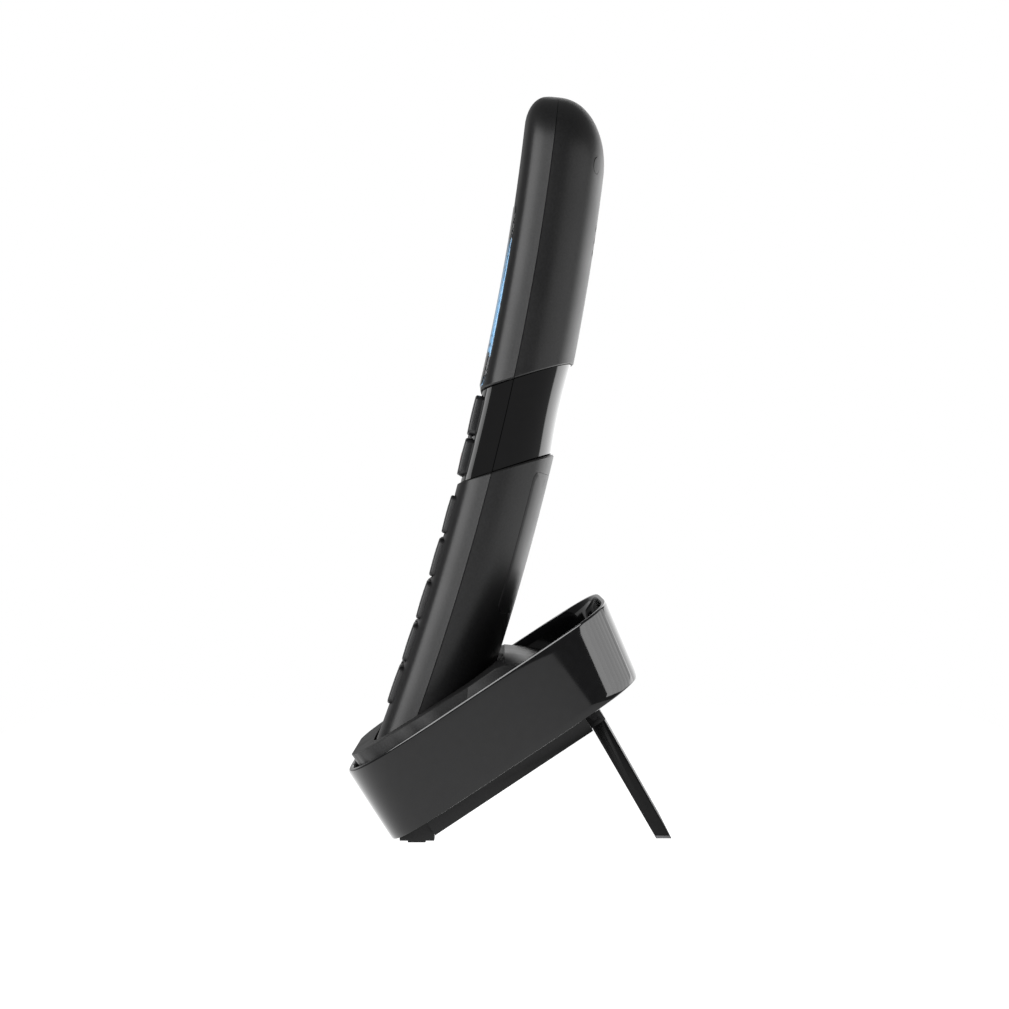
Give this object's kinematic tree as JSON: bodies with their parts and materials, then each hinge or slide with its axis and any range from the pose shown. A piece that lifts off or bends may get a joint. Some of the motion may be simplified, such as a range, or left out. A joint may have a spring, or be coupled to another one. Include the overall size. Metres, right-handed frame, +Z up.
{
  "type": "cordless phone with base",
  "caption": "Curved cordless telephone handset standing in a tilted charging base with a gloss ring, matt cradle and fold-out rear leg.",
  "frame": {"origin": "on the surface it stands on, under the middle of the footprint", "axes": "+Z up, keypad and display face -Y, +X is the right side seen from behind the keypad"},
  "size_m": [0.0798, 0.0752, 0.1744],
  "materials": {
    "shell_plastic": "fine satin moulded texture",
    "band_gloss": "polished",
    "window": "clear hard-coated window",
    "display": "backlit blue display",
    "circuit_board": "solder mask",
    "ribbon": "polyimide",
    "silicone": "soft matt",
    "speaker_metal": "stamped",
    "grille": "fine mesh",
    "contact_metal": "gold flashed",
    "tray_plastic": "moulded",
    "battery_wrap": "heat-shrink film",
    "screw_steel": "zinc plated",
    "key_plastic": "satin",
    "band_key_plastic": "satin",
    "ring_gloss": "polished",
    "cradle_plastic": "fine matt texture",
    "cover_plastic": "satin",
    "leg_plastic": "semi-gloss",
    "foot_rubber": "matt",
    "leg_rubber": "matt grey"
  },
  "bodies": {
    "base": {"base_ring": "ring_gloss", "cradle_insert": "cradle_plastic", "bottom_cover": "cover_plastic", "base_board": "circuit_board", "contact_block": "tray_plastic", "page_switch": "tray_plastic", "power_socket": "tray_plastic", "line_socket": "tray_plastic", "base_screws": "screw_steel", "front_foot_pads": "foot_rubber", "leg_hinge_pin": "screw_steel"},
    "handset": {"front_shell": "shell_plastic", "rear_shell": "shell_plastic", "waist_band_front": "band_gloss", "waist_band_rear": "band_gloss", "display_lens": "window", "display_module": "display", "display_board": "circuit_board", "board_ribbon": "ribbon", "keypad_board": "circuit_board", "keypad_mat": "silicone", "earpiece_grille": "grille", "earpiece_speaker": "speaker_metal", "loudspeaker": "speaker_metal", "microphone": "contact_metal", "battery_tray": "tray_plastic", "battery_pack": "battery_wrap", "handset_charge_pads": "contact_metal", "handset_screws": "screw_steel"},
    "battery_door": {"battery_door": "shell_plastic"},
    "leg": {"support_leg": "leg_plastic", "leg_foot_pad": "leg_rubber"},
    "page_key": {"page_key": "cradle_plastic"},
    "charge_contact_left": {"charge_contact_left": "contact_metal"},
    "charge_contact_right": {"charge_contact_right": "contact_metal"},
    "scroll_rocker": {"scroll_rocker": "band_key_plastic"},
    "key_1": {"key_1": "key_plastic"},
    "key_2": {"key_2": "key_plastic"},
    "key_3": {"key_3": "key_plastic"},
    "key_4": {"key_4": "key_plastic"},
    "key_5": {"key_5": "key_plastic"},
    "key_6": {"key_6": "key_plastic"},
    "key_7": {"key_7": "key_plastic"},
    "key_8": {"key_8": "key_plastic"},
    "key_9": {"key_9": "key_plastic"},
    "key_star": {"key_star": "key_plastic"},
    "key_0": {"key_0": "key_plastic"},
    "key_hash": {"key_hash": "key_plastic"},
    "key_menu": {"key_menu": "key_plastic"},
    "key_mute": {"key_mute": "key_plastic"},
    "key_speaker": {"key_speaker": "key_plastic"},
    "soft_key_left": {"soft_key_left": "band_key_plastic"},
    "soft_key_right": {"soft_key_right": "band_key_plastic"},
    "talk_key": {"talk_key": "band_key_plastic"},
    "end_key": {"end_key": "band_key_plastic"}
  },
  "joints": [
    {"name": "handset_lift", "type": "slide", "parent": "base", "child": "handset", "axis": [0, 0.3363, 0.9418], "range_m": [0, 0.06]},
    {"name": "battery_door_off", "type": "slide", "parent": "handset", "child": "battery_door", "axis": [0, 0.9634, -0.2681], "range_m": [0, 0.01]},
    {"name": "key_1_press", "type": "slide", "parent": "handset", "child": "key_1", "axis": [0, 0.9642, -0.2651], "range_m": [0, 0.0006], "stiffness_N_per_m": 1500, "springref_m": -0.0004},
    {"name": "key_2_press", "type": "slide", "parent": "handset", "child": "key_2", "axis": [0, 0.9642, -0.2651], "range_m": [0, 0.0006], "stiffness_N_per_m": 1500, "springref_m": -0.0004},
    {"name": "key_3_press", "type": "slide", "parent": "handset", "child": "key_3", "axis": [0, 0.9642, -0.2651], "range_m": [0, 0.0006], "stiffness_N_per_m": 1500, "springref_m": -0.0004},
    {"name": "key_4_press", "type": "slide", "parent": "handset", "child": "key_4", "axis": [0, 0.9596, -0.2815], "range_m": [0, 0.0006], "stiffness_N_per_m": 1500, "springref_m": -0.0004},
    {"name": "key_5_press", "type": "slide", "parent": "handset", "child": "key_5", "axis": [0, 0.9596, -0.2815], "range_m": [0, 0.0006], "stiffness_N_per_m": 1500, "springref_m": -0.0004},
    {"name": "key_6_press", "type": "slide", "parent": "handset", "child": "key_6", "axis": [0, 0.9596, -0.2815], "range_m": [0, 0.0006], "stiffness_N_per_m": 1500, "springref_m": -0.0004},
    {"name": "key_7_press", "type": "slide", "parent": "handset", "child": "key_7", "axis": [0, 0.9546, -0.2979], "range_m": [0, 0.0006], "stiffness_N_per_m": 1500, "springref_m": -0.0004},
    {"name": "key_8_press", "type": "slide", "parent": "handset", "child": "key_8", "axis": [0, 0.9546, -0.2979], "range_m": [0, 0.0006], "stiffness_N_per_m": 1500, "springref_m": -0.0004},
    {"name": "key_9_press", "type": "slide", "parent": "handset", "child": "key_9", "axis": [0, 0.9546, -0.2979], "range_m": [0, 0.0006], "stiffness_N_per_m": 1500, "springref_m": -0.0004},
    {"name": "key_star_press", "type": "slide", "parent": "handset", "child": "key_star", "axis": [0, 0.9494, -0.3142], "range_m": [0, 0.0006], "stiffness_N_per_m": 1500, "springref_m": -0.0004},
    {"name": "key_0_press", "type": "slide", "parent": "handset", "child": "key_0", "axis": [0, 0.9494, -0.3142], "range_m": [0, 0.0006], "stiffness_N_per_m": 1500, "springref_m": -0.0004},
    {"name": "key_hash_press", "type": "slide", "parent": "handset", "child": "key_hash", "axis": [0, 0.9494, -0.3142], "range_m": [0, 0.0006], "stiffness_N_per_m": 1500, "springref_m": -0.0004},
    {"name": "key_menu_press", "type": "slide", "parent": "handset", "child": "key_menu", "axis": [0, 0.9439, -0.3303], "range_m": [0, 0.0006], "stiffness_N_per_m": 1500, "springref_m": -0.0004},
    {"name": "key_mute_press", "type": "slide", "parent": "handset", "child": "key_mute", "axis": [0, 0.9439, -0.3303], "range_m": [0, 0.0006], "stiffness_N_per_m": 1500, "springref_m": -0.0004},
    {"name": "key_speaker_press", "type": "slide", "parent": "handset", "child": "key_speaker", "axis": [0, 0.9439, -0.3303], "range_m": [0, 0.0006], "stiffness_N_per_m": 1500, "springref_m": -0.0004},
    {"name": "soft_key_left_press", "type": "slide", "parent": "handset", "child": "soft_key_left", "axis": [0, 0.9739, -0.227], "range_m": [0, 0.0006], "stiffness_N_per_m": 1500, "springref_m": -0.0004},
    {"name": "soft_key_right_press", "type": "slide", "parent": "handset", "child": "soft_key_right", "axis": [0, 0.9739, -0.227], "range_m": [0, 0.0006], "stiffness_N_per_m": 1500, "springref_m": -0.0004},
    {"name": "talk_key_press", "type": "slide", "parent": "handset", "child": "talk_key", "axis": [0, 0.97, -0.2429], "range_m": [0, 0.0006], "stiffness_N_per_m": 1500, "springref_m": -0.0004},
    {"name": "end_key_press", "type": "slide", "parent": "handset", "child": "end_key", "axis": [0, 0.97, -0.2429], "range_m": [0, 0.0006], "stiffness_N_per_m": 1500, "springref_m": -0.0004},
    {"name": "scroll_rocker_tilt", "type": "hinge", "parent": "handset", "child": "scroll_rocker", "pos_m": [0, -0.00765, 0.0929], "axis": [1, 0, 0], "range_deg": [-3, 3], "stiffness_Nm_per_rad": 0.15},
    {"name": "charge_contact_left_spring", "type": "slide", "parent": "base", "child": "charge_contact_left", "axis": [0, -0.3592, -0.9333], "range_m": [0, 0.0008], "stiffness_N_per_m": 400, "springref_m": -0.0006},
    {"name": "charge_contact_right_spring", "type": "slide", "parent": "base", "child": "charge_contact_right", "axis": [0, -0.3592, -0.9333], "range_m": [0, 0.0008], "stiffness_N_per_m": 400, "springref_m": -0.0006},
    {"name": "page_key_press", "type": "slide", "parent": "base", "child": "page_key", "axis": [0, 0.5519, -0.8339], "range_m": [0, 0.0008], "stiffness_N_per_m": 1200, "springref_m": -0.0004},
    {"name": "leg_fold", "type": "hinge", "parent": "base", "child": "leg", "pos_m": [0, 0.01994, 0.02848], "axis": [-1, 0, 0], "range_deg": [0, 86]}
  ]
}
